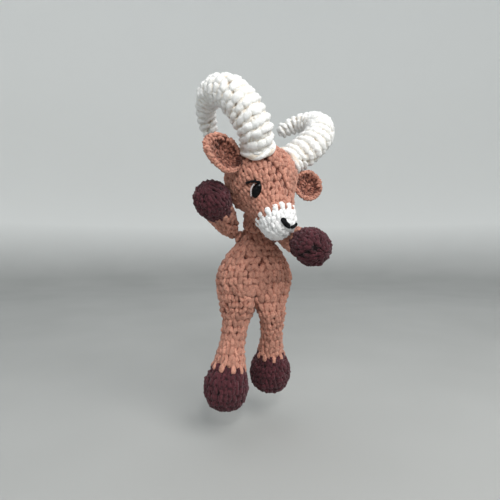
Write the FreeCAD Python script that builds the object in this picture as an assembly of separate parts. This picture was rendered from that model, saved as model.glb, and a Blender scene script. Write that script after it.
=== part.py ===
import FreeCAD, Part
import math
import os

# Crocheted ibex doll, hanging from the nape of its neck.
# Millimetres. +X is the doll's left, -Y its front, +Z up. The origin is the grip at the nape.

V = FreeCAD.Vector
LEFT = V(1, 0, 0)
BACK = V(0, 1, 0)
UP = V(0, 0, 1)

# ---- yarn and clearances
SKIN = 4.0              # thickness of the crocheted chenille
GAP = 0.5               # clearance between bodies that move past each other
YARN = 1.0              # radius of the yarn sewn round the eyes

# ---- torso
TORSO_Y = -17.0
TORSO_LEAN = 0.055      # sideways drift of the torso's centre for each mm down
DOME_Z = -14.3
DOME_R = 16.5
TORSO_STATIONS = [      # height, half width, half depth
    (-74.8, 37.5, 20.5),
    (-71.0, 41.8, 24.5),
    (-62.0, 43.0, 26.0),
    (-50.0, 40.0, 25.0),
    (-38.0, 34.0, 22.5),
    (-28.0, 26.5, 20.0),
    (-20.0, 19.5, 17.6),
    (DOME_Z, DOME_R, DOME_R),
]

# ---- neck
NECK_DIR = V(0.068, -0.395, 0.902)
NECK_BALL_R = 4.5

# ---- head, drawn along its snout axis: height is measured from the cranium's centre
HEAD_YAW = 43.5
HEAD_PITCH = 33.1
HEAD_ROLL = 9.9
SNOUT_DROP = 26.0
CRANIUM_R = 39.0
SNOUT_PROFILE = [       # radius, height
    (35.7, 15.2),
    (29.2, 26.2),
    (24.2, 36.6),
    (21.2, 45.0),
    (19.6, 53.0),
    (17.8, 61.0),
    (13.2, 68.2),
    (6.0, 71.8),
    (0.0, 72.5),
]
MUZZLE_FROM = 47.0

# ---- face; places are (height along the snout, degrees round it from the forehead)
EYE_AT = (28.4, 77.0)
EYE_SIZE = (7.8, 4.5, 3.4)
EYE_SLANT = 37.0
SHANK_R = 1.8
SHANK_LENGTH = 10.0
WASHER_R = 5.5
WASHER_T = 1.6
LASH = [(18.6, 87.0), (20.8, 75.0), (24.6, 63.0)]
EYE_WHITE = [(22.4, 75.5), (24.4, 86.0), (29.6, 95.0)]
NOSE_THICK = [(62.3, -47.0), (67.6, -34.0), (70.0, -9.0)]
NOSE_THIN = [(70.0, -5.0), (68.6, 12.0), (64.8, 27.0)]
NOSE_THICK_R = 2.2
NOSE_THIN_R = 1.4

# ---- horns; angles in degrees. The doll's right horn is curled tighter than the left.
HORN_BALL_R = 17.5
HORN_SKIP = 0.11        # share of the curl that is inside the base ball
HORN_RADII = [(0.0, 17.5), (0.15, 18.0), (0.35, 17.2), (0.55, 15.2), (0.75, 12.2), (1.0, 9.6)]
RIGHT_HORN = {"side": -1, "lateral": 46.0, "back": -2.5, "lean_out": 37.5, "lean_back": 18.7,
              "turn": 197.8, "length": 144.0, "tighten": 0.40, "splay": 7.6}
LEFT_HORN = {"side": 1, "lateral": 42.6, "back": 6.0, "lean_out": 29.3, "lean_back": -17.7,
             "turn": 183.7, "length": 140.0, "tighten": 0.54, "splay": 16.7}
HORN_SEAM_R = 13.5
HORN_SEAM_YARN = 3.3

# ---- ears; directions are (lateral, forward, up) on the head. The doll's left ear lies further forward.
EAR_ROOT_R = 4.5
RIGHT_EAR = {"side": -1, "root": (0.990, -0.113, 0.086), "axis": (0.990, -0.113, 0.050),
             "opening": (0.0, 0.760, 0.650), "reach": 12.5, "size": 1.12}
LEFT_EAR = {"side": 1, "root": (0.900, 0.280, 0.330), "axis": (0.800, 0.550, 0.170),
            "opening": (-0.500, 0.700, 0.500), "reach": 12.0, "size": 0.96}
EAR_CLEAR = 7.0         # how far the cup is cut back from the skin of the head
EAR_BOWL = (24.0, 19.5)  # outer and inner radius of the shallow bowl
EAR_LIP_AT = 4.0        # height of the bowl's lip above its lowest point
EAR_RIM = (16.0, 3.0)   # the rolled rim: ring radius, roll radius
EAR_SEAM_R = 6.0
EAR_SEAM_YARN = 1.6

# ---- arms: from the shoulder ball's centre, drawn along the arm
SHOULDER = (26.9, -19.0, -10.5)
SHOULDER_SLOPE = 30.0
SHOULDER_R = 6.5
SHOULDER_SEAM = (5.0, 2.2)
RIGHT_ARM_DIR = V(-18.8, -50.0, 32.2)
LEFT_ARM_DIR = V(27.6, -50.4, -16.0)
ARM_PROFILE = [(9.0, 6.0), (11.6, 14.0), (13.2, 24.0), (14.2, 34.0), (14.8, 42.0), (16.8, 49.0),
               (18.8, 57.0), (18.7, 64.0), (15.8, 72.5), (9.9, 78.2), (4.3, 80.5), (0.0, 81.0)]
ARM_HOOF_FROM = 41.0

# ---- legs: from the hip ball's centre, drawn along the leg
HIP_Z = -95.0
HIP_R = 19.5
RIGHT_HIP_X = -21.2
LEFT_HIP_X = 18.6
RIGHT_LEG_DIR = V(-12.4, -15.0, -87.7)
LEFT_LEG_DIR = V(-1.1, 30.0, -84.6)
LEG_PROFILE = [(16.9, 12.0), (14.6, 24.0), (13.8, 36.0), (15.0, 49.0), (17.4, 61.0), (18.8, 68.0),
               (22.0, 75.0), (24.2, 84.0), (24.0, 93.0), (20.6, 103.0), (13.0, 110.2), (5.5, 113.0), (0.0, 113.5)]
LEG_HOOF_FROM = 67.0

BIG = 400.0


# ---------------------------------------------------------------- frames

def unit(v):
    return v * (1.0 / v.Length)


def turn_about(axis, degrees):
    return FreeCAD.Rotation(axis, degrees)


DOME_CENTRE = V(0, TORSO_Y, DOME_Z)
NECK_AXIS = unit(NECK_DIR)
NECK_PIVOT = DOME_CENTRE + NECK_AXIS * (DOME_R + GAP + NECK_BALL_R)
HEAD_CENTRE = NECK_PIVOT + NECK_AXIS * (NECK_BALL_R + GAP + CRANIUM_R)
HEAD_TURN = turn_about(UP, HEAD_YAW) * turn_about(LEFT, HEAD_PITCH) * turn_about(BACK, HEAD_ROLL)
SNOUT_TURN = HEAD_TURN * turn_about(LEFT, 90.0 + SNOUT_DROP)
HEAD_PLACE = FreeCAD.Placement(HEAD_CENTRE, SNOUT_TURN)


def on_head(lateral, forward, up):
    """A direction given on the head, turned into the doll's frame."""
    return HEAD_TURN.multVec(V(lateral, -forward, up))


def moved(shape, placement):
    shape = shape.copy()
    shape.Placement = placement.multiply(shape.Placement)
    return shape


def along(shape, start, direction):
    """Stand a shape drawn along +Z at start, pointing in direction."""
    return moved(shape, FreeCAD.Placement(start, FreeCAD.Rotation(UP, direction)))


# ---------------------------------------------------------------- solids of revolution

def ball_end(radius):
    """The lower half of a round profile about height 0."""
    angles = [math.radians(a) for a in (0, 12, 35, 62, 90)]
    return [(radius * math.sin(a), -radius * math.cos(a)) for a in angles]


def turned(profile):
    """Revolve a smooth profile of (radius, height) that starts and ends on the axis.

    It is made as two half turns, so that no face closes on itself."""
    points = [V(r, 0, h) for r, h in profile]
    curve = Part.BSplineCurve()
    curve.interpolate(points)
    edges = [curve.toShape(), Part.makeLine(points[-1], points[0])]
    half = Part.Face(Part.Wire(edges)).revolve(V(0, 0, 0), UP, 180)
    other = half.copy()
    other.rotate(V(0, 0, 0), UP, 180)
    return half.fuse(other)


def inset(profile, depth):
    """The same profile, moved inwards by depth."""
    inner = []
    last = len(profile) - 1
    for i, (r, h) in enumerate(profile):
        if i == 0:
            inner.append((0.0, h + depth))
        elif i == last:
            inner.append((0.0, h - depth))
        else:
            dr = profile[i + 1][0] - profile[i - 1][0]
            dh = profile[i + 1][1] - profile[i - 1][1]
            size = math.hypot(dr, dh)
            inner.append((r - depth * dh / size, h + depth * dr / size))
    return inner


def lower_half(height):
    return Part.makeBox(BIG, BIG, BIG, V(-BIG / 2, -BIG / 2, height - BIG))


# ---------------------------------------------------------------- torso and neck

def torso_solid(depth):
    wires = []
    for z, half_x, half_y in TORSO_STATIONS:
        centre = V(TORSO_LEAN * (z - DOME_Z), TORSO_Y, z)
        lift = depth if z == TORSO_STATIONS[0][0] else 0.0
        centre.z += lift
        a = half_x - depth
        b = half_y - depth
        curve = Part.Ellipse(centre, a, b) if a - b > 0.01 else Part.Circle(centre, UP, a)
        wires.append(Part.Wire(curve.toShape()))
    body = Part.makeLoft(wires, True, False)
    return body.fuse(Part.makeSphere(DOME_R - depth, DOME_CENTRE)).removeSplitter()


def make_torso():
    stuffing = torso_solid(SKIN)
    return {"torso_shell": torso_solid(0.0).cut(stuffing), "torso_stuffing": stuffing}


def make_neck():
    return {"neck_seam": Part.makeSphere(NECK_BALL_R, NECK_PIVOT)}


# ---------------------------------------------------------------- limbs

def limb(profile, split, start, direction):
    """Skin above the hoof, skin of the hoof, and the stuffing inside both."""
    stuffing = turned(inset(profile, SKIN))
    skin = turned(profile).cut(stuffing)
    upper = skin.common(lower_half(split))
    hoof = skin.cut(lower_half(split))
    return [along(s, start, direction) for s in (upper, hoof, stuffing)]


def make_leg(side, hip_x, direction):
    profile = ball_end(HIP_R) + LEG_PROFILE
    upper, hoof, stuffing = limb(profile, LEG_HOOF_FROM, V(hip_x, TORSO_Y, HIP_Z), direction)
    return {side + "_leg_shell": upper, side + "_leg_hoof": hoof, side + "_leg_stuffing": stuffing}


def shoulder_normal(sign):
    slope = math.radians(SHOULDER_SLOPE)
    return V(sign * math.cos(slope), 0, math.sin(slope))


def make_arm(side, sign, direction):
    x, y, z = SHOULDER
    centre = V(sign * x, y, z)
    profile = ball_end(SHOULDER_R) + ARM_PROFILE
    upper, hoof, stuffing = limb(profile, ARM_HOOF_FROM, centre, direction)
    radius, thickness = SHOULDER_SEAM
    normal = shoulder_normal(sign)
    seam_at = centre - normal * (SHOULDER_R + GAP + thickness)
    seam = Part.makeCylinder(radius, thickness, seam_at, normal)
    return {side + "_arm_shell": upper, side + "_arm_hoof": hoof, side + "_arm_stuffing": stuffing,
            side + "_shoulder_seam": seam}


# ---------------------------------------------------------------- head and face

def head_profile():
    angles = [math.radians(a) for a in (0, 10, 30, 55, 80, 102)]
    cranium = [(CRANIUM_R * math.sin(a), -CRANIUM_R * math.cos(a)) for a in angles]
    return cranium + SNOUT_PROFILE


def snout_radius(height):
    """Radius of the head's skin at a height along the snout."""
    points = [(r, h) for r, h in head_profile() if h > 0]
    for (r0, h0), (r1, h1) in zip(points, points[1:]):
        if h0 <= height <= h1:
            return r0 + (r1 - r0) * (height - h0) / (h1 - h0)
    return points[0][0]


def face_point(place, lift=0.0):
    """A point on the head's skin, in the head's own frame; lift is along the radius."""
    height, degrees = place
    angle = math.radians(degrees)
    radius = snout_radius(height) + lift
    return V(radius * math.sin(angle), radius * math.cos(angle), height)


def face_normal(place):
    height, degrees = place
    slope = (snout_radius(height + 1) - snout_radius(height - 1)) / 2.0
    angle = math.radians(degrees)
    return unit(V(math.sin(angle), math.cos(angle), -slope))


def mirrored(places, sign):
    return [(height, sign * degrees) for height, degrees in places]


def strand(places, radius):
    """A strand of yarn lying on the head's skin through three places."""
    points = [face_point(p, 0.5 * radius) for p in places]
    path = Part.Arc(*points).toShape()
    start = path.tangentAt(path.FirstParameter)
    ring = Part.Wire(Part.makeCircle(radius, points[0], start))
    pipe = Part.Wire(path).makePipeShell([ring], True, False)
    ends = [Part.makeSphere(radius, points[0]), Part.makeSphere(radius, points[-1])]
    return pipe.fuse(ends)


def eye_frame(sign):
    """Origin on the skin, +Z out of it, +X along the eye's long axis."""
    place = (EYE_AT[0], sign * EYE_AT[1])
    out = face_normal(place)
    angle = math.radians(place[1])
    round_head = V(math.cos(angle), -math.sin(angle), 0) * sign
    ahead = unit(out.cross(round_head))
    ahead = ahead if ahead.z > 0 else ahead * -1
    slant = math.radians(EYE_SLANT)
    long_axis = unit(round_head * math.cos(slant) + ahead * math.sin(slant))
    rotation = FreeCAD.Rotation(long_axis, out.cross(long_axis), out, "ZXY")
    return FreeCAD.Placement(face_point(place), rotation)


def make_eye(sign):
    """The eye's dome, its shank with the ridge of the washer, and the washer."""
    long_half, wide_half, high = EYE_SIZE
    scale = FreeCAD.Matrix()
    scale.scale(V(long_half, wide_half, high))
    dome = Part.makeSphere(1.0).transformGeometry(scale)
    shank = Part.makeCylinder(SHANK_R, SHANK_LENGTH, V(0, 0, -SHANK_LENGTH))
    disc = Part.makeCylinder(WASHER_R, WASHER_T, V(0, 0, -SKIN - 1.2 - WASHER_T))
    frame = eye_frame(sign)
    return moved(dome, frame), moved(shank, frame), moved(disc, frame)


def make_head():
    outer = turned(head_profile())
    stuffing = turned(inset(head_profile(), SKIN))
    skin = outer.cut(stuffing)
    parts = {}
    for side, sign in (("right", -1), ("left", 1)):
        dome, shank, disc = make_eye(sign)
        eye = dome.cut(outer).fuse(shank)
        washer = disc.cut(shank)
        skin = skin.cut(shank).cut(disc)
        stuffing = stuffing.cut(shank).cut(disc)
        lash = strand(mirrored(LASH, sign), YARN).cut(outer).cut(eye)
        white = strand(mirrored(EYE_WHITE, sign), YARN).cut(outer).cut(eye).cut(lash)
        parts.update({side + "_eye": eye, side + "_eye_washer": washer,
                      side + "_eyelash": lash, side + "_eye_white": white})
    thick = strand(NOSE_THICK, NOSE_THICK_R).cut(outer)
    thin = strand(NOSE_THIN, NOSE_THIN_R).cut(outer)
    parts["nose_embroidery"] = thick.fuse(thin)
    parts["head_shell"] = skin.common(lower_half(MUZZLE_FROM))
    parts["muzzle_shell"] = skin.cut(lower_half(MUZZLE_FROM))
    parts["head_stuffing"] = stuffing
    return {name: moved(shape, HEAD_PLACE) for name, shape in parts.items()}


# ---------------------------------------------------------------- horns

def horn_root(horn):
    lateral = math.radians(horn["lateral"])
    back = math.radians(horn["back"])
    return on_head(horn["side"] * math.sin(lateral), -math.sin(back) * math.cos(lateral),
                   math.cos(back) * math.cos(lateral))


def horn_path(horn):
    """Points and tangents of the horn's centre line, from the base ball to the tip."""
    out = math.radians(horn["lean_out"])
    back = math.radians(horn["lean_back"])
    splay = math.radians(horn["splay"])
    side = horn["side"]
    first = on_head(side * math.sin(out), -math.sin(back) * math.cos(out),
                    math.cos(back) * math.cos(out))
    bend = on_head(side * math.sin(splay), -math.cos(splay), 0)
    bend = unit(bend - first * bend.dot(first))
    steps = 120
    step = horn["length"] * (1 - HORN_SKIP) / steps
    point = HEAD_CENTRE + horn_root(horn) * (CRANIUM_R + GAP + HORN_BALL_R)
    path = []
    for i in range(steps + 1):
        s = HORN_SKIP + (1 - HORN_SKIP) * i / steps
        share = (1 - horn["tighten"]) * s + horn["tighten"] * s * s
        angle = math.radians(horn["turn"]) * share
        tangent = first * math.cos(angle) + bend * math.sin(angle)
        path.append((point, tangent))
        point = point + tangent * step
    return path, first.cross(bend)


def horn_radius(share):
    for (s0, r0), (s1, r1) in zip(HORN_RADII, HORN_RADII[1:]):
        if share <= s1:
            return r0 + (r1 - r0) * (share - s0) / (s1 - s0)
    return HORN_RADII[-1][1]


def horn_solid(horn, depth):
    path, binormal = horn_path(horn)
    last = len(path) - 1
    wires = []
    for i in range(0, last + 1, 12):
        point, tangent = path[i]
        ring = Part.Wire(Part.makeCircle(horn_radius(i / last) - depth))
        turn = FreeCAD.Rotation(binormal, tangent.cross(binormal), tangent, "ZXY")
        ring.Placement = FreeCAD.Placement(point, turn)
        wires.append(ring)
    tube = Part.makeLoft(wires, True, False)
    base = Part.makeSphere(HORN_BALL_R - depth, path[0][0])
    tip = Part.makeSphere(horn_radius(1.0) - depth, path[-1][0])
    return tube.fuse([base, tip])


def torus_on_head(direction, ring_r, yarn_r):
    """A ring of seam yarn that rests on the cranium around a direction."""
    height = math.sqrt((CRANIUM_R + 0.97 * yarn_r) ** 2 - ring_r ** 2)
    ring = Part.makeTorus(ring_r, yarn_r, HEAD_CENTRE + direction * height, direction)
    return ring.cut(Part.makeSphere(CRANIUM_R + 0.05, HEAD_CENTRE))


def make_horn(side, horn):
    stuffing = horn_solid(horn, SKIN)
    return {side + "_horn_shell": horn_solid(horn, 0.0).cut(stuffing),
            side + "_horn_stuffing": stuffing,
            side + "_horn_seam": torus_on_head(horn_root(horn), HORN_SEAM_R, HORN_SEAM_YARN)}


# ---------------------------------------------------------------- ears

def make_ear(side, ear):
    sign = ear["side"]
    lateral, forward, up = ear["root"]
    root_dir = unit(on_head(sign * lateral, forward, up))
    root = HEAD_CENTRE + root_dir * (CRANIUM_R + GAP + EAR_ROOT_R)
    lateral, forward, up = ear["axis"]
    axis = unit(on_head(sign * lateral, forward, up))
    lateral, forward, up = ear["opening"]
    opening = on_head(sign * lateral, forward, up)
    opening = unit(opening - axis * opening.dot(axis))
    size = ear["size"]
    outer_r, inner_r = [size * r for r in EAR_BOWL]
    ring_r, roll_r = [size * r for r in EAR_RIM]
    lip = size * EAR_LIP_AT
    outer = Part.makeSphere(outer_r, V(0, 0, outer_r - lip))
    inner = Part.makeSphere(inner_r, V(0, 0, outer_r - lip))
    rim = Part.makeTorus(ring_r, roll_r, V(0, 0, lip))
    cup = outer.cut(inner).common(lower_half(lip)).fuse(rim)
    turn = FreeCAD.Rotation(axis, opening.cross(axis), opening, "ZXY")
    cup = moved(cup, FreeCAD.Placement(root + axis * ear["reach"], turn))
    cup = cup.cut(Part.makeSphere(CRANIUM_R + EAR_CLEAR, HEAD_CENTRE))
    ball = Part.makeSphere(EAR_ROOT_R, root)
    return {side + "_ear_shell": cup.fuse(ball),
            side + "_ear_seam": torus_on_head(root_dir, EAR_SEAM_R, EAR_SEAM_YARN)}


# ---------------------------------------------------------------- the doll

def make_doll():
    parts = {}
    parts.update(make_torso())
    parts.update(make_neck())
    parts.update(make_head())
    parts.update(make_horn("right", RIGHT_HORN))
    parts.update(make_horn("left", LEFT_HORN))
    parts.update(make_ear("right", RIGHT_EAR))
    parts.update(make_ear("left", LEFT_EAR))
    parts.update(make_arm("right", -1, RIGHT_ARM_DIR))
    parts.update(make_arm("left", 1, LEFT_ARM_DIR))
    parts.update(make_leg("right", RIGHT_HIP_X, RIGHT_LEG_DIR))
    parts.update(make_leg("left", LEFT_HIP_X, LEFT_LEG_DIR))
    return parts


os.makedirs("parts", exist_ok=True)
for name, shape in make_doll().items():
    shape.exportStep("parts/" + name + ".step")
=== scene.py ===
import math

import bpy
import numpy as np
from mathutils import Matrix, Vector


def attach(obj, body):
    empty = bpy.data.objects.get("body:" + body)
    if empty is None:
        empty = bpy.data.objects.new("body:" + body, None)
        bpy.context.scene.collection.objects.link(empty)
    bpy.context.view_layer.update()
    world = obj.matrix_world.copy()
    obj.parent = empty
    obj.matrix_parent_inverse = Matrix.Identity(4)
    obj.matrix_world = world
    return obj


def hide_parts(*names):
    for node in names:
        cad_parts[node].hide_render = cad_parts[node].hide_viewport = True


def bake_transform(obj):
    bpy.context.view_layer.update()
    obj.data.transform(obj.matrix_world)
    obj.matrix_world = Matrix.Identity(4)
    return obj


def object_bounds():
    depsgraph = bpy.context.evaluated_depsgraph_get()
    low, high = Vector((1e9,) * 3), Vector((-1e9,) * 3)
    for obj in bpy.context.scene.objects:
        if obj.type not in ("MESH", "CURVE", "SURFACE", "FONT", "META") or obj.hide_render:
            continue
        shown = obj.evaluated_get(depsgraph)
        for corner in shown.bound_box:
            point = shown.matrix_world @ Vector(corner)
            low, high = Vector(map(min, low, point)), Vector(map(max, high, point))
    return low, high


# Crocheted ibex doll. Lengths here are in millimetres, as in the CAD, and become metres in each mesh.

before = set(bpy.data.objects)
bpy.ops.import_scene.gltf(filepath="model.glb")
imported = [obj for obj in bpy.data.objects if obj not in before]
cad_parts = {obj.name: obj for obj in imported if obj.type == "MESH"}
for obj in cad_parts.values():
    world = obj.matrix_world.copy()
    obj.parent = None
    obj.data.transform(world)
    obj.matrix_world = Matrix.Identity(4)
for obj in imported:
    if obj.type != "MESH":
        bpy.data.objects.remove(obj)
cad_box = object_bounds()

MM = 0.001
UP = np.array([0.0, 0.0, 1.0])

# ---- yarn
STITCH = 8.2            # width of a stitch
ROUND = 7.0             # height of a round
BODY_STITCH = 1.18      # stitches of the body and legs against those of the head
SINK = 2.5              # how far the inner skin lies below the outside of the stitches; the skin is a dark sheet of painted shade
SKIN_STEP = 2.5         # distance between the rings of the inner skin
SKIN_SHADE = 0.22       # painted shade on the inner skin: 0 is the painted shade low between stitches, 1 is the outside
# the inner skin's tone is below the stitches' average of 0.5, which adds a little to its painted shade
SKIN_TONE = 0.4
SHADE_RANGE = 4.4       # height of yarn over which its painted shade fades from darkest to none at the outside
TONGUE_R = 3.2          # radius of the long stitches that reach into the next colour
ROPE_SIDES = 18

# ---- torso
TORSO_Y = -17.0
TORSO_LEAN = 0.055
DOME_Z = -14.3
DOME_R = 16.5
TORSO_STATIONS = [(-94.0, 36.0, 20.8), (-90.0, 38.0, 22.0), (-84.0, 40.0, 23.2), (-79.0, 40.8, 23.9),
                  (-74.0, 41.4, 24.4), (-62.0, 43.0, 26.0), (-50.0, 40.0, 25.0), (-38.0, 34.0, 22.5),
                  (-28.0, 26.5, 20.0), (-20.0, 19.5, 17.6), (-14.3, 16.5, 16.5), (-8.0, 15.2, 15.2),
                  (-2.6, 11.7, 11.7), (0.9, 6.5, 6.5), (2.2, 0.2, 0.2)]
TORSO_END = -79.6       # height where the rounds of the body give way to those of the thighs

FOLD_X = -0.1           # where a crease in the slack front of the body meets the crotch
FOLD_DEPTH = 5.0

# ---- neck and head
NECK_DIR = (0.068, -0.395, 0.902)
NECK_BALL_R = 4.5
GAP = 0.5
HEAD_YAW = 43.5
HEAD_PITCH = 33.1
HEAD_ROLL = 9.9
SNOUT_DROP = 26.0
CRANIUM_R = 39.0
SNOUT = [(0.05, 72.5), (6.0, 71.8), (13.2, 68.2), (17.8, 61.0), (19.6, 53.0), (21.2, 45.0),
         (24.2, 36.6), (29.2, 26.2), (35.7, 15.2)]
MUZZLE_FROM = 47.0      # height on the snout where the white yarn ends
MUZZLE_SHORT = 4.5      # how far before that place its long last stitches start
MUZZLE_TONGUES = (4.5, 8.6)         # reach and width of those stitches
LASH = [(18.6, 87.0), (20.8, 75.0), (24.6, 63.0)]
EYE_WHITE = [(22.9, 74.5), (25.3, 84.8), (30.6, 93.5)]
NOSE_THICK = [(62.3, -47.0), (67.6, -34.0), (70.0, -9.0)]
NOSE_THIN = [(70.0, -5.0), (68.6, 12.0), (64.8, 27.0)]

# ---- horns
HORN_BALL_R = 17.5
HORN_SKIP = 0.11
HORN_RADII = [(0.0, 17.5), (0.15, 18.0), (0.35, 17.2), (0.55, 15.2), (0.75, 12.2), (1.0, 9.6)]
RIGHT_HORN = {"side": -1, "lateral": 46.0, "back": -2.5, "lean_out": 37.5, "lean_back": 18.7,
              "turn": 197.8, "length": 144.0, "tighten": 0.40, "splay": 7.6}
LEFT_HORN = {"side": 1, "lateral": 42.6, "back": 6.0, "lean_out": 29.3, "lean_back": -17.7,
             "turn": 183.7, "length": 140.0, "tighten": 0.54, "splay": 16.7}
HORN_SEAM_R = 14.4
HORN_SEAM_YARN = 4.2
HORN_SINK = 5.0         # depth of the inner skin of the horns, which their loops lie over
HORN_STITCH = 9.6
RIDGE = 8.4             # distance between the horn's ridges

# ---- ears
EAR_ROOT_R = 4.5
RIGHT_EAR = {"side": -1, "root": (0.990, -0.113, 0.086), "axis": (0.990, -0.113, 0.050),
             "opening": (0.0, 0.760, 0.650), "reach": 12.5, "size": 1.12, "long": 1.40, "tall": 0.90}
LEFT_EAR = {"side": 1, "root": (0.900, 0.280, 0.330), "axis": (0.800, 0.550, 0.170),
            "opening": (-0.500, 0.700, 0.500), "reach": 12.0, "size": 0.96, "long": 1.0, "tall": 1.0}
EAR_CUP = [(0.05, -3.8), (6.0, -3.2), (11.0, -1.6), (15.5, 1.0), (18.6, 4.0), (18.4, 6.6), (16.0, 7.4),
           (13.6, 6.0), (11.0, 3.0), (7.0, 1.2), (3.0, 0.5), (0.05, 0.4)]
EAR_CUP_R = 19.0        # from the middle of the cup to its edge at the head
EAR_SEAM_R = 6.0
EAR_SEAM_YARN = 1.6

# ---- limbs
SHOULDER = (26.9, -19.0, -10.5)
SHOULDER_SLOPE = 30.0
SHOULDER_R = 6.5
RIGHT_ARM_DIR = (-18.8, -50.0, 32.2)
LEFT_ARM_DIR = (27.6, -50.4, -16.0)
ARM = [(9.0, 6.0), (11.6, 14.0), (13.2, 24.0), (14.2, 34.0), (14.8, 42.0), (16.8, 49.0),
       (18.8, 57.0), (18.7, 64.0), (15.8, 72.5), (9.9, 78.2), (4.3, 80.5), (0.05, 81.0)]
ARM_HOOF_FROM = 41.0
ARM_TONGUES = (-4.5, 10.5)          # reach and width of the long stitches over the hoof
SHOULDER_SEAM = [(6.4, -11.0), (7.0, -8.4), (5.6, -6.6), (3.0, -6.2)]
HIP_Z = -95.0
RIGHT_HIP_X = -21.2
LEFT_HIP_X = 18.6
RIGHT_LEG_DIR = (-12.4, -15.0, -87.7)
LEFT_LEG_DIR = (-1.1, 30.0, -84.6)
LEG = [(16.4, 12.0), (14.4, 24.0), (13.8, 36.0), (15.0, 49.0), (17.4, 61.0), (18.8, 68.0),
       (22.0, 75.0), (24.2, 84.0), (24.0, 93.0), (20.6, 103.0), (13.0, 110.2), (5.5, 113.0),
       (0.05, 113.5)]
LEG_HOOF_FROM = {-1: 64.0, 1: 58.5}  # for the right leg (-1) and the left leg (1)
LEG_TONGUES = (-5.5, 11.5)
THIGH_FROM = 13.0       # place on the leg where it starts to change into the outline of the body
THIGH_LEVELS = [(-97.0, 0.35), (-90.0, 0.75), (-82.0, 0.95), (-74.0, 1.0)]
CROTCH_X = -2.2
LEG_SLIM = {-1: 1.0, 1: 0.9}        # the left leg's yarn is worked a little tighter
THIGH_LOW = {-1: 38.0, 1: 33.0}     # half width of the body where each thigh ends


# ---------------------------------------------------------------- small maths

def unit(v):
    v = np.asarray(v, float)
    return v / np.linalg.norm(v, axis=-1, keepdims=True)


def through(points, count):
    """A smooth line through the points, as count points evenly spread along it."""
    p = np.asarray(points, float)
    p = np.vstack([2 * p[0] - p[1], p, 2 * p[-1] - p[-2]])
    line = []
    for a, b, c, d in zip(p, p[1:], p[2:], p[3:]):
        s = np.linspace(0, 1, 24, endpoint=False)[:, None]
        line.append(0.5 * (2 * b + (c - a) * s + (2 * a - 5 * b + 4 * c - d) * s ** 2
                           + (3 * b - a - 3 * c + d) * s ** 3))
    line = np.vstack(line + [p[-2:-1]])
    far = np.concatenate([[0], np.cumsum(np.linalg.norm(np.diff(line, axis=0), axis=1))])
    at = np.linspace(0, far[-1], count)
    return np.stack([np.interp(at, far, line[:, k]) for k in range(line.shape[1])], axis=1)


def axes_along(direction):
    """Three unit axes as columns, the last along direction."""
    z = unit(direction)
    x = np.cross(UP if abs(z[2]) < 0.9 else np.array([0.0, 1.0, 0.0]), z)
    x = unit(x)
    return np.stack([x, np.cross(z, x), z], axis=1)


def ripple(points, seed, size, waves=14):
    """Smooth random values, about -1 to 1, that vary over size mm."""
    rng = np.random.default_rng(seed)
    turn = unit(rng.normal(size=(waves, 3)))
    rate = 2 * math.pi / (size * rng.uniform(0.7, 1.6, waves))
    phase = rng.uniform(0, 2 * math.pi, waves)
    return np.sin(points @ (turn * rate[:, None]).T + phase).sum(axis=1) / math.sqrt(waves)


# ---------------------------------------------------------------- forms: rings of points

COLS = 72
RING = np.linspace(0, 2 * math.pi, COLS, endpoint=False)


class Form:
    """A surface of rings, with places given as mm from its first ring and share of a turn round it."""

    def __init__(self, rings):
        self.rings = rings
        step = np.linalg.norm(np.diff(rings, axis=0), axis=2).mean(axis=1)
        self.along = np.concatenate([[0], np.cumsum(step)])
        self.length = self.along[-1]
        side = np.roll(rings, -1, axis=1) - np.roll(rings, 1, axis=1)
        onward = np.gradient(rings, axis=0)
        facing = np.cross(side, onward)
        if (facing * rings).sum() < 0:
            facing = -facing
        self.normals = unit(facing + 1e-12)
        edges = np.linalg.norm(np.roll(rings, -1, axis=1) - rings, axis=2)
        self.girths = edges.sum(axis=1)

    def place(self, t, turn):
        """Points and normals at these places. One beyond a closed end comes back on the far side."""
        under = t < 0
        over = t > self.length
        turn = np.where(under | over, turn + 0.5, turn)
        t = np.where(under, -t, t)
        t = np.where(over, 2 * self.length - t, t)
        row = np.interp(t, self.along, np.arange(len(self.along)))
        i = np.clip(row.astype(int), 0, len(self.along) - 2)
        f = (row - i)[:, None]
        col = (turn % 1.0) * COLS
        j = col.astype(int) % COLS
        k = (j + 1) % COLS
        g = (col - np.floor(col))[:, None]

        def mixed(a):
            near = a[i, j] * (1 - g) + a[i, k] * g
            far = a[i + 1, j] * (1 - g) + a[i + 1, k] * g
            return near * (1 - f) + far * f

        return mixed(self.rings), unit(mixed(self.normals))

    def girth(self, t):
        return float(np.interp(t, self.along, self.girths))

    def strip(self, start, stop, shade_depth):
        """Points and faces of the skin between two places, moved in by depth, closed at both ends."""
        rows = max(4, int((stop - start) / SKIN_STEP))
        t = np.repeat(np.linspace(start, stop, rows), COLS)
        turn = np.tile(np.arange(COLS) / COLS, rows)
        points, normals = self.place(t, turn)
        points = points - normals * shade_depth
        a = np.arange((rows - 1) * COLS).reshape(rows - 1, COLS)
        b = np.roll(a, -1, axis=1)
        quads = np.stack([a, b, b + COLS, a + COLS], axis=2).reshape(-1, 4)
        caps = np.array([points[:COLS].mean(axis=0), points[-COLS:].mean(axis=0)])
        ring = np.arange(COLS)
        first = np.stack([np.roll(ring, -1), ring, np.full(COLS, rows * COLS)], axis=1)
        last = (rows - 1) * COLS + ring
        final = np.stack([last, np.roll(last, -1), np.full(COLS, rows * COLS + 1)], axis=1)
        return np.vstack([points, caps]), quads.tolist() + first.tolist() + final.tolist()


def lathe(profile, origin, axes, count=140):
    """The form that a profile of (radius, height) makes round the third axis."""
    line = through(profile, count)
    r = np.maximum(line[:, 0], 0.05)[:, None, None]
    h = line[:, 1][:, None, None]
    spoke = np.cos(RING)[:, None] * axes[:, 0] + np.sin(RING)[:, None] * axes[:, 1]
    return Form(origin + h * axes[:, 2] + r * spoke)


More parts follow.
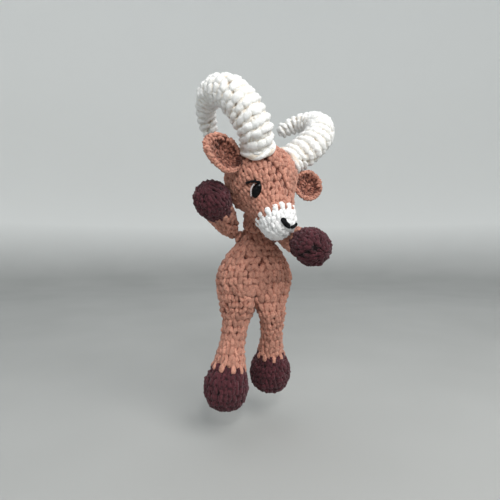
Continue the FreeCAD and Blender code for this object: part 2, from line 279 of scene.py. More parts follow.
def height_place(form, origin, axis, height):
    """How far along the form its ring at this height is."""
    level = (form.rings.mean(axis=1) - origin) @ axis
    order = np.argsort(level)
    return float(np.interp(height, level[order], form.along[order]))


# ---------------------------------------------------------------- stitches

def lump(path, radius, sections=9, sides=8):
    """A plump closed loop of yarn along a short path of (x, y, z): points and faces."""
    s = np.linspace(0, 1, sections)
    centre = through(path, sections)
    tangent = unit(np.gradient(centre, axis=0))
    side = unit(np.cross(tangent, UP))
    out = np.cross(side, tangent)
    fat = radius * (1 - np.abs(2 * s - 1) ** 3.0 * 0.72)
    angle = np.linspace(0, 2 * math.pi, sides, endpoint=False)
    ring = np.cos(angle)[None, :, None] * side[:, None] + np.sin(angle)[None, :, None] * out[:, None]
    points = (centre[:, None] + fat[:, None, None] * ring).reshape(-1, 3)
    ends = np.array([centre[0] - tangent[0] * fat[0] * 0.8,
                     centre[-1] + tangent[-1] * fat[-1] * 0.8])
    a = np.arange((sections - 1) * sides).reshape(sections - 1, sides)
    b = np.roll(a, -1, axis=1)
    quads = np.stack([a, a + sides, b + sides, b], axis=2).reshape(-1, 4)
    ring = np.arange(sides)
    first = np.stack([ring, np.roll(ring, -1), np.full(sides, sections * sides)], axis=1)
    last = (sections - 1) * sides + ring
    final = np.stack([np.roll(last, -1), last, np.full(sides, sections * sides + 1)], axis=1)
    return np.vstack([points, ends]), quads, np.vstack([first, final])


def stitch_v():
    """The two slanted loops of a stitch: they meet low in a point and open towards the next round."""
    lumps = []
    for side in (-1, 1):
        path = [(side * 0.6, -5.8, -4.6), (side * 1.4, -3.0, -2.7), (side * 2.3, 0.2, -2.1),
                (side * 3.0, 3.0, -2.8), (side * 3.3, 4.6, -4.4)]
        lumps.append(lump(path, 2.7))
    return lumps


def stitch_roll():
    """A long loop lying along the round, and a thinner one sunk behind it: rounds look like ribs."""
    rib = [(-8.8, -0.9, -4.2), (-4.5, -0.4, -3.3), (0.0, 0.0, -3.1), (4.5, 0.4, -3.3),
           (8.8, 0.9, -4.2)]
    sunk = [(-7.5, 3.8, -5.3), (-4.0, 4.0, -4.8), (0.0, 4.2, -4.6), (4.0, 4.4, -4.8),
            (7.5, 4.6, -5.3)]
    return [lump(rib, 3.5, sections=11, sides=10), lump(sunk, 2.8)]


def cover(form, start, stop, loops, seed, size=1.0, width=STITCH, pitch=ROUND, wander=0.35,
          least=5, lean=0.12, dim_from=None):
    """Rounds of stitches from start to stop, in a spiral: points, quads, triangles, height and tone.

    A round has at least the least number of stitches. Yarn past the place given last gets painted shade,
    as if it lay low between stitches.
    """
    rng = np.random.default_rng(seed)
    rounds = max(1, int(round((stop - start) / (pitch * size))))
    step = (stop - start) / rounds
    stretch = step / (pitch * size)
    along, around, height, tone, quads, tris = [], [], [], [], [], []
    used = 0
    drift = rng.uniform(0, 1)
    for k in range(rounds + 1):
        middle = min(max(k, 0.5), rounds - 0.5)
        count = max(least, int(round(form.girth(start + middle * step) / (width * size))))
        drift += 0.56 / count
        for i in range(count):
            turn = drift + (i + rng.normal(0, 0.07)) / count
            risen = k + (i + 0.5) / count - 0.5
            here = start + min(max(risen, 0.45), rounds - 0.45) * step + rng.normal(0, wander)
            for shape, quad, tri in loops:
                angle = lean + rng.normal(0, 0.13)
                grow = 1 + rng.normal(0, 0.06)
                x = (shape[:, 0] * math.cos(angle) - shape[:, 1] * math.sin(angle)) * grow
                y = (shape[:, 0] * math.sin(angle) + shape[:, 1] * math.cos(angle)) * grow
                along.append(here + y * size * stretch)
                around.append(turn + x / (width * count))
                height.append(shape[:, 2] + rng.normal(0, 0.25))
                tone.append(np.full(len(shape), rng.uniform(0, 1)))
                quads.append(quad + used)
                tris.append(tri + used)
                used += len(shape)
    height = np.concatenate(height)
    along = np.concatenate(along)
    skin, normal = form.place(along, np.concatenate(around))
    placed = skin + normal * (height * size)[:, None]
    tufts_and_shade = ripple(placed, seed + 1, 3.6) * 0.50 + ripple(placed, seed + 2, 1.9) * 0.36
    placed += normal * (tufts_and_shade * size)[:, None]
    # Painted shade on the yarn past that place, such as inside the bowl of an ear.
    if dim_from is not None:
        tufts_and_shade = tufts_and_shade - 2.4 * (along > dim_from)
    return placed, np.vstack(quads), np.vstack(tris), height + tufts_and_shade, np.concatenate(tone)


def mesh_piece(name, points, faces, shade_depth, tone, material):
    mesh = bpy.data.meshes.new(name)
    mesh.from_pydata((points * MM).tolist(), [], faces)
    mesh.polygons.foreach_set("use_smooth", [True] * len(mesh.polygons))
    # The first of these attributes is painted shade: 0 is darkest, 1 is the unshaded outside.
    for label, values in (("shade_depth", shade_depth), ("tone", tone)):
        mesh.attributes.new(label, "FLOAT", "POINT").data.foreach_set("value", values.astype(np.float32))
    mesh.materials.append(material)
    piece = bpy.data.objects.new(name, mesh)
    bpy.context.scene.collection.objects.link(piece)
    return piece


def tongues(form, at, reach, width, seed):
    """A row of long stitches that start at a place and reach along the form into the next colour."""
    rng = np.random.default_rng(seed)
    count = int(round(form.girth(at + 0.5 * reach) / width))
    toward = math.copysign(1.0, reach)
    path = [(0.0, -3.0, -3.6), (0.0, 1.0, -1.9), (0.0, abs(reach) - 1.0, -1.5),
            (0.0, abs(reach) + 1.5, -3.2)]
    shape, quad, tri = lump(path, TONGUE_R, sections=11, sides=10)
    if toward < 0:
        quad = quad[:, ::-1]
        tri = tri[:, ::-1]
    along, around, height = [], [], []
    for i in range(count):
        turn = (i + rng.normal(0, 0.08)) / count
        wider = 1 + 0.15 * np.clip(shape[:, 1] / abs(reach), 0, 1)
        along.append(at + toward * shape[:, 1] + rng.normal(0, 0.5))
        around.append(turn + shape[:, 0] * wider / form.girth(at + 0.5 * reach))
        height.append(shape[:, 2])
    height = np.concatenate(height)
    skin, normal = form.place(np.concatenate(along), np.concatenate(around))
    placed = skin + normal * height[:, None]
    step = np.arange(count)[:, None, None] * len(shape)
    quads = (quad[None] + step).reshape(-1, 4)
    tris = (tri[None] + step).reshape(-1, 3)
    placed += normal * (ripple(placed, seed + 1, 3.6) * 0.35)[:, None]
    return placed, quads, tris, height, rng.uniform(0, 1, count).repeat(len(shape))


def crochet(name, form, start, stop, material, seed, loops=None, sink=SINK, fringe=None,
            **settings):
    """A crocheted piece: an inner skin dark with painted shade, rounds of stitches and perhaps a row of
    tongues.
    """
    points, quads, tris, z, tone = cover(form, start, stop, loops or stitch_v(), seed, **settings)
    if fringe:
        more, more_quads, more_tris, more_z, more_tone = tongues(form, *fringe, seed + 3)
        quads = np.vstack([quads, more_quads + len(points)])
        tris = np.vstack([tris, more_tris + len(points)])
        points = np.vstack([points, more])
        z = np.concatenate([z, more_z])
        tone = np.concatenate([tone, more_tone])
    inner, faces = form.strip(max(0.0, start - 2.0), min(form.length, stop + 2.0), sink)
    faces = [[v + len(points) for v in f] for f in faces]
    faces = quads.tolist() + tris.tolist() + faces
    # Painted shade: yarn is darker the lower it lies among the stitches, and the inner skin is given a
    # fixed dark value.
    shade_depth = np.concatenate([np.clip(1 + z / SHADE_RANGE, 0, 1), np.full(len(inner), SKIN_SHADE)])
    tone = np.concatenate([tone, np.full(len(inner), SKIN_TONE)])
    return mesh_piece(name, np.vstack([points, inner]), faces, shade_depth, tone, material)


def rope(name, line, radius, material, out, twist, plies=3, closed=False, flat=1.0):
    """A strand of twisted yarn along a line of points; twist is the length of one turn of the plies.

    out points away from what the strand lies on, and flat below 1 presses it towards that.
    """
    line = np.asarray(line, float)
    if closed:
        onward = unit(np.roll(line, -1, axis=0) - np.roll(line, 1, axis=0))
    else:
        onward = unit(np.gradient(line, axis=0))
    side = unit(np.cross(onward, np.broadcast_to(out, line.shape)))
    up = np.cross(side, onward)
    far = np.concatenate([[0], np.cumsum(np.linalg.norm(np.diff(line, axis=0), axis=1))])
    if closed:
        total = far[-1] + np.linalg.norm(line[0] - line[-1])
        twist = total / max(1, round(total / twist))
    angle = np.linspace(0, 2 * math.pi, ROPE_SIDES, endpoint=False)
    lobe = np.cos(plies * (angle[None, :] - 2 * math.pi * far[:, None] / twist / plies))
    r = radius * (0.90 + 0.13 * lobe)
    if not closed:
        share = far / far[-1]
        ends = np.minimum(1, np.minimum(share, 1 - share) * far[-1] / radius)
        r = r * np.sqrt(np.maximum(0.02, 1 - (1 - ends) ** 2))[:, None]
    across = np.cos(angle)[None, :, None] * side[:, None]
    ring = across + np.sin(angle)[None, :, None] * up[:, None] * flat
    points = (line[:, None] + r[:, :, None] * ring).reshape(-1, 3)
    grid = np.arange(len(points)).reshape(len(line), ROPE_SIDES)
    below = np.roll(grid, -1, axis=0) if closed else grid[1:]
    above = grid if closed else grid[:-1]
    faces = np.stack([above, below, np.roll(below, -1, axis=1), np.roll(above, -1, axis=1)], axis=2)
    faces = faces.reshape(-1, 4).tolist()
    if not closed:
        faces += [grid[0].tolist(), grid[-1][::-1].tolist()]
    # Painted shade in the grooves between the plies, lighter on their tops.
    shade_depth = np.clip(0.5 + 0.5 * lobe, 0, 1).reshape(-1)
    return mesh_piece(name, points, faces, shade_depth, np.full(len(points), 0.5), material)


# ---------------------------------------------------------------- materials

def srgb(r, g, b):
    """A colour given as screen values from 0 to 255."""
    linear = [((c / 255 + 0.055) / 1.055) ** 2.4 if c > 10 else c / 255 / 12.92 for c in (r, g, b)]
    return (*linear, 1.0)


class Nodes:
    """A material's node tree, with short calls to add and join nodes."""

    def __init__(self, name):
        self.material = bpy.data.materials.new(name)
        self.material.use_nodes = True
        self.tree = self.material.node_tree
        self.shader = self.tree.nodes["Principled BSDF"]

    def add(self, kind, **values):
        node = self.tree.nodes.new("ShaderNode" + kind)
        for key, value in values.items():
            if key in node.inputs:
                node.inputs[key].default_value = value
            else:
                setattr(node, key, value)
        return node

    def join(self, output, socket):
        self.tree.links.new(output, socket)

    def ramp(self, source, stops):
        node = self.add("ValToRGB")
        elements = node.color_ramp.elements
        while len(elements) < len(stops):
            elements.new(0.5)
        for element, (at, colour) in zip(elements, stops):
            element.position = at
            element.color = colour
        self.join(source, node.inputs["Fac"])
        return node.outputs["Color"]

    def noise(self, scale, detail=3.0, rough=0.6):
        place = self.add("TexCoord")
        node = self.add("TexNoise", Scale=scale, Detail=detail, Roughness=rough)
        self.join(place.outputs["Object"], node.inputs["Vector"])
        return node.outputs["Fac"]

    def maths(self, operation, a, b):
        node = self.add("Math", operation=operation)
        for socket, value in zip(node.inputs, (a, b)):
            if isinstance(value, float):
                socket.default_value = value
            else:
                self.join(value, socket)
        return node.outputs[0]

    def tint(self, a, b, share, blend="MIX"):
        node = self.add("Mix", data_type="RGBA", blend_type=blend)
        for key, value in ((0, share), (6, a), (7, b)):
            if isinstance(value, (float, tuple)):
                node.inputs[key].default_value = value
            else:
                self.join(value, node.inputs[key])
        return node.outputs[2]


def chenille(name, shaded, middle, lit, sheen, sheen_tint=(1, 1, 1, 1), uneven=(0.58, 1.14)):
    """Velvety yarn: painted shade between the stitches, uneven in tone, with a fine raised pile."""
    n = Nodes(name)
    shade_depth = n.add("Attribute", attribute_name="shade_depth").outputs["Fac"]
    tone = n.add("Attribute", attribute_name="tone").outputs["Fac"]
    pile = n.noise(1000.0, 4.0, 0.75)
    tuft = n.noise(380.0, 3.0, 0.65)
    blotch = n.noise(38.0, 2.0, 0.5)
    # Painted shade from how low the yarn lies, mottled by tufts: the ramp runs from the yarn in painted
    # shade through its own colour to the yarn painted as lit.
    painted_shade_and_mottle = n.maths("ADD", shade_depth, n.maths("MULTIPLY", n.maths("SUBTRACT", tuft, 0.5), 1.9))
    colour = n.ramp(painted_shade_and_mottle, [(0.12, shaded), (0.58, middle), (0.97, lit)])
    shade = n.maths("ADD", n.maths("MULTIPLY", tone, 0.16), n.maths("MULTIPLY", blotch, 0.22))
    shade = n.maths("ADD", shade, n.maths("MULTIPLY", pile, 0.42))
    low, high = uneven
    grey = n.ramp(shade, [(0.26, (low, low, low, 1)), (0.54, (high, high, high, 1))])
    n.join(n.tint(colour, grey, 1.0, "MULTIPLY"), n.shader.inputs["Base Color"])
    rough = n.maths("ADD", n.maths("MULTIPLY", pile, 0.2), 0.78)
    n.join(rough, n.shader.inputs["Roughness"])
    n.shader.inputs["Sheen Weight"].default_value = sheen
    n.shader.inputs["Sheen Roughness"].default_value = 0.45
    n.shader.inputs["Sheen Tint"].default_value = sheen_tint
    n.shader.inputs["Specular IOR Level"].default_value = 0.25
    height = n.maths("ADD", n.maths("MULTIPLY", pile, 0.5), n.maths("MULTIPLY", tuft, 0.8))
    bump = n.add("Bump", Strength=0.7, Distance=0.002)
    n.join(height, bump.inputs["Height"])
    n.join(bump.outputs["Normal"], n.shader.inputs["Normal"])
    return n.material


def thread(name, shaded, lit, sheen):
    """Smooth embroidery yarn: painted shade between its plies, with a fine fibre."""
    n = Nodes(name)
    shade_depth = n.add("Attribute", attribute_name="shade_depth").outputs["Fac"]
    fibre = n.noise(1400.0, 3.0, 0.6)
    # Painted shade from the grooves between plies, mottled by the fibre, from the yarn in painted shade
    # to the yarn painted as lit.
    painted_shade_and_mottle = n.maths("ADD", n.maths("MULTIPLY", shade_depth, 0.7), n.maths("MULTIPLY", fibre, 0.4))
    n.join(n.ramp(painted_shade_and_mottle, [(0.15, shaded), (0.95, lit)]), n.shader.inputs["Base Color"])
    n.join(n.maths("ADD", n.maths("MULTIPLY", fibre, 0.2), 0.7), n.shader.inputs["Roughness"])
    n.shader.inputs["Sheen Weight"].default_value = sheen
    n.shader.inputs["Specular IOR Level"].default_value = 0.2
    bump = n.add("Bump", Strength=0.3, Distance=0.0004)
    n.join(fibre, bump.inputs["Height"])
    n.join(bump.outputs["Normal"], n.shader.inputs["Normal"])
    return n.material


def plastic(name, dark, light, rough, coat):
    """Moulded plastic with a faint unevenness from handling."""
    n = Nodes(name)
    haze = n.noise(220.0, 3.0, 0.6)
    n.join(n.ramp(haze, [(0.2, dark), (0.9, light)]), n.shader.inputs["Base Color"])
    n.join(n.maths("ADD", n.maths("MULTIPLY", haze, 0.08), rough), n.shader.inputs["Roughness"])
    n.shader.inputs["Specular IOR Level"].default_value = 0.05
    n.shader.inputs["Coat Weight"].default_value = coat
    n.shader.inputs["Coat Roughness"].default_value = 0.03
    bump = n.add("Bump", Strength=0.02, Distance=0.0003)
    n.join(haze, bump.inputs["Height"])
    n.join(bump.outputs["Normal"], n.shader.inputs["Normal"])
    return n.material


# For each yarn the first colour is the yarn in painted shade between stitches or plies, the last is the
# yarn painted as lit, and a middle one is its own colour.
BROWN = chenille("brown_chenille", srgb(84, 45, 37), srgb(164, 105, 88), srgb(207, 149, 129),
                 sheen=0.25, sheen_tint=(1.0, 0.82, 0.74, 1))
BURGUNDY = chenille("burgundy_chenille", srgb(14, 5, 7), srgb(39, 14, 19), srgb(84, 41, 48),
                    sheen=0.2, sheen_tint=(1.0, 0.72, 0.76, 1))
WHITE = chenille("white_chenille", srgb(222, 212, 204), srgb(246, 244, 243), srgb(253, 253, 253),
                 sheen=0.2, uneven=(0.84, 1.0))
CREAM = chenille("cream_chenille", srgb(240, 228, 212), srgb(250, 248, 243), srgb(254, 254, 253),
                 sheen=0.2, uneven=(0.88, 1.0))
BLACK_YARN = thread("black_yarn", srgb(3, 3, 5), srgb(13, 13, 17), sheen=0.0)
WHITE_YARN = thread("white_yarn", srgb(170, 160, 158), srgb(236, 230, 230), sheen=0.2)
BLACK_PLASTIC = plastic("black_plastic", srgb(2, 2, 3), srgb(5, 5, 7), 0.3, 0.3)
WHITE_PLASTIC = plastic("white_plastic", srgb(206, 204, 200), srgb(228, 226, 222), 0.4, 0.1)


def settle(piece, body, slot, *nodes, fill=None):
    """Say what a finished piece rides on and which CAD nodes it stands for; what it is made of, slot, is
    not used.
    """
    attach(piece, body)
    if nodes:
        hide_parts(*nodes)


# ---------------------------------------------------------------- head frame

def rotation(degrees, axis):
    return np.array(Matrix.Rotation(math.radians(degrees), 3, axis))


DOME_CENTRE = np.array([0.0, TORSO_Y, DOME_Z])
NECK_AXIS = unit(NECK_DIR)
NECK_PIVOT = DOME_CENTRE + NECK_AXIS * (DOME_R + GAP + NECK_BALL_R)
HEAD_CENTRE = NECK_PIVOT + NECK_AXIS * (NECK_BALL_R + GAP + CRANIUM_R)
HEAD_TURN = rotation(HEAD_YAW, "Z") @ rotation(HEAD_PITCH, "X") @ rotation(HEAD_ROLL, "Y")
SNOUT_AXES = HEAD_TURN @ rotation(90.0 + SNOUT_DROP, "X")


def on_head(lateral, forward, up):
    return HEAD_TURN @ np.array([lateral, -forward, up])


# ---------------------------------------------------------------- torso and neck

def folded(points):
    """The slack front of the body, pushed forward on the doll's right of a crease, back on its left."""
    x, y, z = points[..., 0], points[..., 1], points[..., 2]
    crease = FOLD_X - 0.15 * (z + 99.0)
    front = np.clip((TORSO_Y - y) / 18.0, 0, 1)
    held = np.clip((-22.0 - z) / 30.0, 0, 1) * np.clip((z + 112.0) / 20.0, 0, 1)
    moved = points.copy()
    moved[..., 1] += FOLD_DEPTH * np.tanh((x - crease) / 3.2) * front * held
    return moved


def make_torso():
    stations = [(z, TORSO_LEAN * (z - DOME_Z), a, b) for z, a, b in TORSO_STATIONS]
    line = through(stations, 150)
    rings = []
    for z, x, a, b in line:
        a = max(a, 0.05)
        b = max(b, 0.05)
        rings.append(np.stack([x + a * np.cos(RING), TORSO_Y + b * np.sin(RING),
                               np.full(COLS, z)], axis=1))
    form = Form(folded(np.array(rings)))
    start = float(np.interp(TORSO_END, line[:, 0], form.along))
    torso = crochet("torso", form, start, form.length, BROWN, 11, size=BODY_STITCH)
    settle(torso, "torso", "brown_chenille", "torso_shell", "torso_stuffing", fill=0.9)


def make_neck():
    profile = [(14.0, -13.5), (15.2, -9.0), (15.0, -3.0), (15.0, 3.0), (14.0, 8.0)]
    form = lathe(profile, NECK_PIVOT, axes_along(NECK_AXIS), 40)
    neck = crochet("neck", form, 0.5, form.length - 0.5, BROWN, 21)
    settle(neck, "neck", "brown_chenille", "neck_seam", fill=0.7)


# ---------------------------------------------------------------- head and face

def head_form():
    cranium = [(CRANIUM_R * math.sin(math.radians(a)), -CRANIUM_R * math.cos(math.radians(a)))
               for a in (102, 80, 55, 30, 10, 0.1)]
    return lathe(SNOUT + cranium, HEAD_CENTRE, SNOUT_AXES, 180)


def face_points(places, lift, count=40):
    """A line on the face through places of (height along the snout, degrees round it)."""
    profile = through(SNOUT + [(38.1, 8.1), (38.8, -4.0)], 120)
    points = []
    for height, degrees in places:
        angle = math.radians(degrees)
        radius = np.interp(-height, -profile[:, 1], profile[:, 0]) + lift
        points.append([radius * math.sin(angle), radius * math.cos(angle), height])
    return through(points, count) @ SNOUT_AXES.T + HEAD_CENTRE


def strand(name, places, radius, material, slot, node, lift, flat=0.9):
    """A stitch of yarn on the face, whose middle is lift mm above the skin."""
    line = face_points(places, lift)
    snout = SNOUT_AXES[:, 2]
    out = unit(line - (HEAD_CENTRE + np.outer((line - HEAD_CENTRE) @ snout, snout)))
    piece = rope(name, line, radius, material, out, 3.2 * radius, flat=flat)
    settle(piece, "head", slot, node)


def mirrored(places, sign):
    return [(height, sign * degrees) for height, degrees in places]


def make_head():
    form = head_form()
    edge = height_place(form, HEAD_CENTRE, SNOUT_AXES[:, 2], MUZZLE_FROM) - MUZZLE_SHORT
    muzzle = crochet("muzzle", form, 0.0, edge, WHITE, 31, fringe=(edge, *MUZZLE_TONGUES))
    settle(muzzle, "head", "white_chenille", "muzzle_shell", fill=0.9)
    skin = crochet("head", form, edge, form.length, BROWN, 32)
    settle(skin, "head", "brown_chenille", "head_shell", "head_stuffing", fill=0.9)
    for side, sign in (("right", -1), ("left", 1)):
        strand(side + "_lash", mirrored(LASH, sign), 1.3, BLACK_YARN, "black_yarn",
               side + "_eyelash", 1.5)
        strand(side + "_eye_rim", mirrored(EYE_WHITE, sign), 0.85, WHITE_YARN, "white_yarn",
               side + "_eye_white", 1.2)
        for part, material in (("_eye", BLACK_PLASTIC), ("_eye_washer", WHITE_PLASTIC)):
            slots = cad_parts[side + part].data.materials
            slots.clear()
            slots.append(material)
    strand("nose", NOSE_THICK, 3.0, BLACK_YARN, "black_yarn", "nose_embroidery", 1.0, 0.75)
    strand("nose_thin", NOSE_THIN, 2.0, BLACK_YARN, "black_yarn", "nose_embroidery", 1.0, 0.8)


# ---------------------------------------------------------------- horns

def horn_root(horn):
    lateral = math.radians(horn["lateral"])
    back = math.radians(horn["back"])
    return on_head(horn["side"] * math.sin(lateral), -math.sin(back) * math.cos(lateral),
                   math.cos(back) * math.cos(lateral))


def horn_path(horn):
    """Points and tangents of the horn's centre line, from the base ball to the tip."""
    out = math.radians(horn["lean_out"])
    back = math.radians(horn["lean_back"])
    splay = math.radians(horn["splay"])
    side = horn["side"]
    first = on_head(side * math.sin(out), -math.sin(back) * math.cos(out),
                    math.cos(back) * math.cos(out))
    bend = on_head(side * math.sin(splay), -math.cos(splay), 0)
    bend = unit(bend - first * bend.dot(first))
    steps = 120
    step = horn["length"] * (1 - HORN_SKIP) / steps
    point = HEAD_CENTRE + horn_root(horn) * (CRANIUM_R + GAP + HORN_BALL_R)
    points, tangents = [], []
    for i in range(steps + 1):
        s = HORN_SKIP + (1 - HORN_SKIP) * i / steps
        share = (1 - horn["tighten"]) * s + horn["tighten"] * s * s
        angle = math.radians(horn["turn"]) * share
        tangents.append(first * math.cos(angle) + bend * math.sin(angle))
        points.append(point)
        point = point + tangents[-1] * step
    return np.array(points), np.array(tangents), np.cross(first, bend)


def horn_form(horn):
    """Rings from the horn's tip down to a collar that stands just clear of the skin of the head."""
    points, tangents, binormal = horn_path(horn)
    share = np.linspace(0, 1, len(points))
    radii = np.interp(share, *zip(*HORN_RADII))
    rings = []

    def ring(centre, tangent, radius):
        inward = np.cross(binormal, tangent)
        rings.append(centre + max(radius, 0.05) * (np.cos(RING)[:, None] * binormal
                                                   + np.sin(RING)[:, None] * inward))

    for a in np.linspace(2, 82, 9):
        a = math.radians(a)
        ring(points[-1] + tangents[-1] * radii[-1] * math.cos(a), tangents[-1], radii[-1] * math.sin(a))
    for i in range(len(points) - 1, -1, -1):
        ring(points[i], tangents[i], radii[i])
    root = horn_root(horn)
    for down in np.linspace(2.0, 16.0, 8):
        turned = unit(tangents[0] * (16.0 - down) + root * down)
        ring(points[0] - root * down, turned, HORN_BALL_R - 0.05 * down)
    ring(points[0] - root * 17.0, root, 14.0)
    ring(points[0] - root * 17.4, root, 9.0)
    return Form(np.array(rings))


def ring_on_head(direction, ring_r, yarn_r):
    """A closed line round a direction, where a ring of yarn rests on the cranium."""
    height = math.sqrt((CRANIUM_R + 0.9 * yarn_r) ** 2 - ring_r ** 2)
    axes = axes_along(direction)
    turn = np.linspace(0, 2 * math.pi, 96, endpoint=False)
    spoke = np.cos(turn)[:, None] * axes[:, 0] + np.sin(turn)[:, None] * axes[:, 1]
    return HEAD_CENTRE + direction * height + ring_r * spoke


def make_horn(side, horn, seed):
    form = horn_form(horn)
    piece = crochet(side + "_horn", form, 0.0, form.length, CREAM, seed, loops=stitch_roll(),
                    sink=HORN_SINK, width=HORN_STITCH, pitch=RIDGE, wander=0.25, lean=0.0)
    settle(piece, side + "_horn", "cream_chenille", side + "_horn_shell", side + "_horn_stuffing",
           fill=0.8)
    root = horn_root(horn)
    line = ring_on_head(root, HORN_SEAM_R, HORN_SEAM_YARN)
    seam = rope(side + "_horn_sewing", line, HORN_SEAM_YARN, CREAM, root, 17.0, plies=2, closed=True)
    settle(seam, "head", "cream_chenille", side + "_horn_seam")


# ---------------------------------------------------------------- ears

def make_ear(side, ear, seed):
    sign = ear["side"]
    lateral, forward, up = ear["root"]
    root_dir = unit(on_head(sign * lateral, forward, up))
    root = HEAD_CENTRE + root_dir * (CRANIUM_R + GAP + EAR_ROOT_R)
    lateral, forward, up = ear["axis"]
    axis = unit(on_head(sign * lateral, forward, up))
    lateral, forward, up = ear["opening"]
    opening = on_head(sign * lateral, forward, up)
    opening = unit(opening - axis * opening.dot(axis))
    across = np.cross(opening, axis)
    cup = [(r * ear["size"], h * ear["size"]) for r, h in EAR_CUP]
    rings = lathe(cup, np.zeros(3), np.eye(3), 90).rings
    rim = int(np.argmax(rings[..., 2].mean(axis=1)))
    toward = np.clip(-rings[..., 0] / EAR_CUP_R, 0, 1)
    rings[..., 1] *= ear["tall"] * (1 - 0.30 * toward ** 1.6)
    rings[..., 0] *= np.where(rings[..., 0] > 0, ear["long"], 1.0)
    rings[..., 2] += 0.008 * rings[..., 1] ** 2 * (0.3 + 1.2 * toward)
    axes = np.stack([axis, across, opening], axis=1)
    points = rings @ axes.T + root + axis * ear["reach"]
    away = points - HEAD_CENTRE
    far = np.linalg.norm(away, axis=2, keepdims=True)
    points = HEAD_CENTRE + away / far * np.maximum(far, CRANIUM_R + 1.5)
    form = Form(points)
    # The inside of the ear's bowl is given painted shade.
    piece = crochet(side + "_ear", form, 0.0, form.length, BROWN, seed, size=0.74, sink=1.5, least=4,
                    dim_from=form.along[rim + 6])
    settle(piece, side + "_ear", "brown_chenille", side + "_ear_shell", fill=0.1)
    line = ring_on_head(root_dir, EAR_SEAM_R, EAR_SEAM_YARN)
    seam = rope(side + "_ear_sewing", line, EAR_SEAM_YARN, BROWN, root_dir, 6.0, closed=True)
    settle(seam, "head", "brown_chenille", side + "_ear_seam")


# ---------------------------------------------------------------- limbs

def ball_end(radius):
    return [(radius * math.sin(math.radians(a)), -radius * math.cos(math.radians(a)))
            for a in (90, 62, 35, 12, 0.5)]


def make_arm(side, sign, direction, seed):
    centre = np.array([sign * SHOULDER[0], SHOULDER[1], SHOULDER[2]])
    axes = axes_along(direction)
    form = lathe(ARM[::-1] + ball_end(SHOULDER_R), centre, axes, 120)
    split = height_place(form, centre, axes[:, 2], ARM_HOOF_FROM)
    hoof = crochet(side + "_front_hoof", form, 0.0, split, BURGUNDY, seed)
    settle(hoof, side + "_arm", "burgundy_chenille", side + "_arm_hoof", fill=0.9)
    skin = crochet(side + "_arm_skin", form, split, form.length, BROWN, seed + 5,
                   fringe=(split, *ARM_TONGUES))
    settle(skin, side + "_arm", "brown_chenille", side + "_arm_shell", side + "_arm_stuffing",
           fill=0.9)
    slope = math.radians(SHOULDER_SLOPE)
    normal = np.array([sign * math.cos(slope), 0.0, math.sin(slope)])
    disc = axes_along(normal)
    seam_form = lathe(SHOULDER_SEAM, centre, disc, 30)
    seam = crochet(side + "_shoulder", seam_form, 0.0, seam_form.length, BROWN, seed + 7,
                   size=0.62, sink=1.8)
    settle(seam, side + "_shoulder", "brown_chenille", side + "_shoulder_seam")


def thigh_outline(sign, z):
    """One half of the torso's outline at a height, as a rounded closed ring."""
    a = np.interp(z, [-97.0, -84.0, -74.0], [THIGH_LOW[sign], 40.0, 41.4])
    b = np.interp(z, [-97.0, -84.0, -74.0], [20.5, 23.2, 24.4])
    middle = TORSO_LEAN * (z - DOME_Z)
    x_half = CROTCH_X - middle + sign * a
    centre = CROTCH_X + x_half / 2
    reach = []
    for angle in RING:
        c, s = math.cos(angle), math.sin(angle)
        best = 200.0
        for r in np.linspace(2.0, 48.0, 185):
            x, y = centre + r * c, r * s
            inside = ((x - middle) / a) ** 2 + (y / b) ** 2 < 1 and (x - CROTCH_X) * sign > 0
            if not inside:
                best = r
                break
        reach.append(best)
    reach = np.array(reach)
    for _ in range(10):
        reach = (np.roll(reach, 1) + 2 * reach + np.roll(reach, -1)) / 4
    return np.stack([centre + reach * np.cos(RING), TORSO_Y + reach * np.sin(RING),
                     np.full(COLS, z)], axis=1)


def leg_form(sign, hip_x, direction):
    """Rings from the hoof's tip up the leg, changing at the hip into half of the torso's outline."""
    hip = np.array([hip_x, TORSO_Y, HIP_Z])
    down = unit(direction)
    x = unit(np.array([1.0, 0.0, 0.0]) - down * down[0])
    y = np.cross(x, down)
    y = y if y[1] > 0 else -y
    line = through(LEG[::-1] + [(19.5, 2.0), (20.0, -8.0)], 150)
    line[:, 0] *= 1 - (1 - LEG_SLIM[sign]) * np.clip((72.0 - line[:, 1]) / 10.0, 0, 1)
    rings = [hip + h * down + max(r, 0.05) * (np.cos(RING)[:, None] * x + np.sin(RING)[:, None] * y)
             for r, h in line]
    kept = [ring for ring, (r, h) in zip(rings, line) if h > THIGH_FROM]
    thigh = []
    for z, share in THIGH_LEVELS:
        outline = thigh_outline(sign, z)
        h = THIGH_FROM - (z + 108.0) * 0.9
        r = np.interp(-h, -line[:, 1], line[:, 0])
        circle = hip + h * down + r * (np.cos(RING)[:, None] * x + np.sin(RING)[:, None] * y)
        thigh.append(circle * (1 - share) + outline * share)
    change = np.array([ring.reshape(-1) for ring in kept[-14::6] + thigh])
    upper = through(change, 40).reshape(40, COLS, 3)
    body = kept[:-14] + list(upper)
    top = upper[-1].mean(axis=0)
    for share in (0.8, 0.5, 0.02):
        body.append(top + (upper[-1] - top) * share + np.array([0, 0, 1.2 * (1 - share)]))
    return Form(folded(np.array(body))), hip, down


def make_leg(side, sign, hip_x, direction, seed):
    form, hip, down = leg_form(sign, hip_x, direction)
    level = (form.rings.mean(axis=1) - hip) @ down
    split = float(np.interp(-LEG_HOOF_FROM[sign], -level[:100], form.along[:100]))
    hoof = crochet(side + "_back_hoof", form, 0.0, split, BURGUNDY, seed, size=BODY_STITCH)
    settle(hoof, side + "_leg", "burgundy_chenille", side + "_leg_hoof", fill=0.9)
    heights = form.rings.mean(axis=1)[:, 2]
    stop = float(np.interp(TORSO_END, heights[60:-4], form.along[60:-4]))
    skin = crochet(side + "_leg_skin", form, split, stop, BROWN, seed + 5, size=BODY_STITCH,
                   fringe=(split, *LEG_TONGUES))
    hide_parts(side + "_leg_shell", side + "_leg_stuffing")
    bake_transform(skin)


# ---------------------------------------------------------------- stage, light, camera

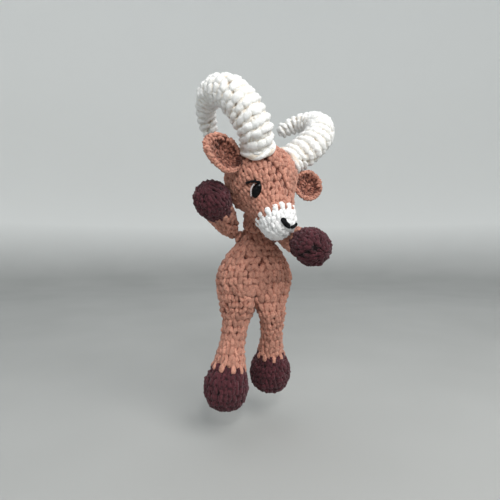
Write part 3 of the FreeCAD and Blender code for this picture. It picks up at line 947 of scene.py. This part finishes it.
def make_stage():
    """A pale floor that curves up into a pale round wall, with the floor painted darker than the wall as
    painted shade.
    """
    low = cad_box[0][2] / MM - 30.0
    profile = [(0.05, low), (1200.0, low), (2300.0, low + 40.0), (2900.0, low + 500.0),
               (3000.0, low + 1600.0), (3000.0, low + 3200.0)]
    line = through(profile, 60)
    turn = np.linspace(0, 2 * math.pi, 96, endpoint=False)
    points = [(r * math.cos(a), r * math.sin(a), h) for r, h in line for a in turn]
    a = np.arange(59 * 96).reshape(59, 96)
    b = np.roll(a, -1, axis=1)
    faces = np.stack([a, b, b + 96, a + 96], axis=2).reshape(-1, 4).tolist()
    n = Nodes("backdrop")
    cloud = n.ramp(n.noise(3.0, 2.0), [(0.3, srgb(166, 167, 165)), (0.7, srgb(173, 174, 172))])
    place = n.add("TexCoord")
    parts = n.add("SeparateXYZ")
    n.join(place.outputs["Object"], parts.inputs[0])
    # Painted shade: the floor is coloured darker than the wall to even out the stronger light that falls
    # on it from above.
    rise = n.maths("ADD", n.maths("MULTIPLY", parts.outputs["Z"], 1.2), 0.30)
    wall = n.ramp(rise, [(0.05, (0.0, 0.0, 0.0, 1)), (0.5, (1.0, 1.0, 1.0, 1))])
    n.join(n.tint(cloud, srgb(240, 241, 239), wall), n.shader.inputs["Base Color"])
    n.shader.inputs["Roughness"].default_value = 0.9
    blank = np.zeros(len(points))
    stage = mesh_piece("backdrop", np.array(points), faces, blank, blank, n.material)


def area_light(name, place, target, size, power, colour):
    light = bpy.data.lights.new(name, "AREA")
    light.shape = "RECTANGLE"
    light.size = size[0]
    light.size_y = size[1]
    light.energy = power
    light.color = colour
    lamp = bpy.data.objects.new(name, light)
    lamp.location = place
    aim = Vector(target) - Vector(place)
    lamp.rotation_euler = aim.to_track_quat("-Z", "Y").to_euler()
    bpy.context.scene.collection.objects.link(lamp)


def make_lights():
    area_light("key", (0.75, -1.0, 1.0), (0, 0, 0.05), (1.1, 1.1), 19.0, (1.0, 0.99, 0.97))
    area_light("fill", (-1.3, -1.2, 0.4), (0, 0, 0), (1.2, 1.2), 1.5, (0.95, 0.98, 1.0))
    area_light("glint", (0.12, -0.95, 0.55), (0, 0, 0.05), (0.12, 0.12), 3.0, (1.0, 1.0, 1.0))
    area_light("sky", (0.0, 0.4, 2.9), (0, 0.4, 0), (3.2, 3.2), 8.0, (0.97, 0.99, 1.0))
    world = bpy.data.worlds.new("soft")
    world.use_nodes = True
    world.node_tree.nodes["Background"].inputs["Color"].default_value = srgb(226, 230, 234)
    world.node_tree.nodes["Background"].inputs["Strength"].default_value = 0.84
    bpy.context.scene.world = world


def make_camera():
    camera = bpy.data.cameras.new("camera")
    camera.lens = 27.0
    camera.sensor_width = 36.0
    camera.clip_start = 0.01
    eye = bpy.data.objects.new("camera", camera)
    eye.location = (-0.007, -0.447, -0.030)
    eye.rotation_euler = (math.radians(90), 0, 0)
    bpy.context.scene.collection.objects.link(eye)
    bpy.context.scene.camera = eye
    bpy.context.scene.view_settings.view_transform = "Standard"


make_camera()
make_lights()
make_stage()
make_torso()
make_neck()
make_head()
make_horn("right", RIGHT_HORN, 51)
make_horn("left", LEFT_HORN, 52)
make_ear("right", RIGHT_EAR, 61)
make_ear("left", LEFT_EAR, 62)
make_arm("right", -1, RIGHT_ARM_DIR, 71)
make_arm("left", 1, LEFT_ARM_DIR, 91)
make_leg("right", -1, RIGHT_HIP_X, RIGHT_LEG_DIR, 111)
make_leg("left", 1, LEFT_HIP_X, LEFT_LEG_DIR, 131)
